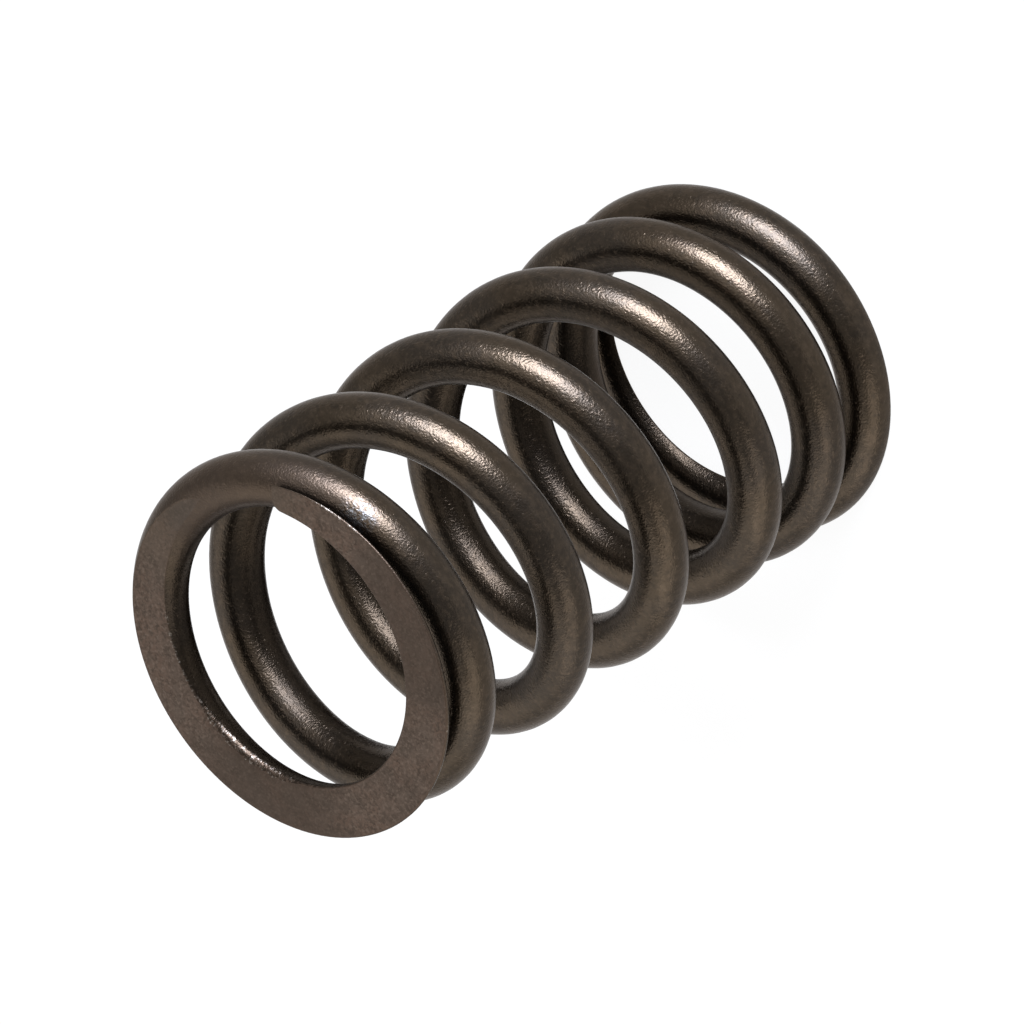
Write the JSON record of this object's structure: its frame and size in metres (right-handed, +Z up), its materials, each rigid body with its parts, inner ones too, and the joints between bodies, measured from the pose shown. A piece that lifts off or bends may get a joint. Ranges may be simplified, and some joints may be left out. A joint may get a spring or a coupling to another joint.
{
  "type": "engine valve spring",
  "caption": "Right-hand coil spring of round steel wire, with closed ends ground flat and one end wound close. It shuts a poppet valve in an engine's cylinder head.",
  "frame": {"origin": "on the coil's axis, in the plane of the bottom ground face", "axes": "+Z up the coil's axis to the top ground face, +X towards the bottom tip of the wire"},
  "size_m": [0.0288, 0.0288, 0.0535],
  "materials": {
    "spring_steel": "shot-peened spring steel with a dark brown oxide, satin, with ground end faces"
  },
  "bodies": {
    "root": {"valve_spring": "spring_steel"}
  },
  "joints": []
}
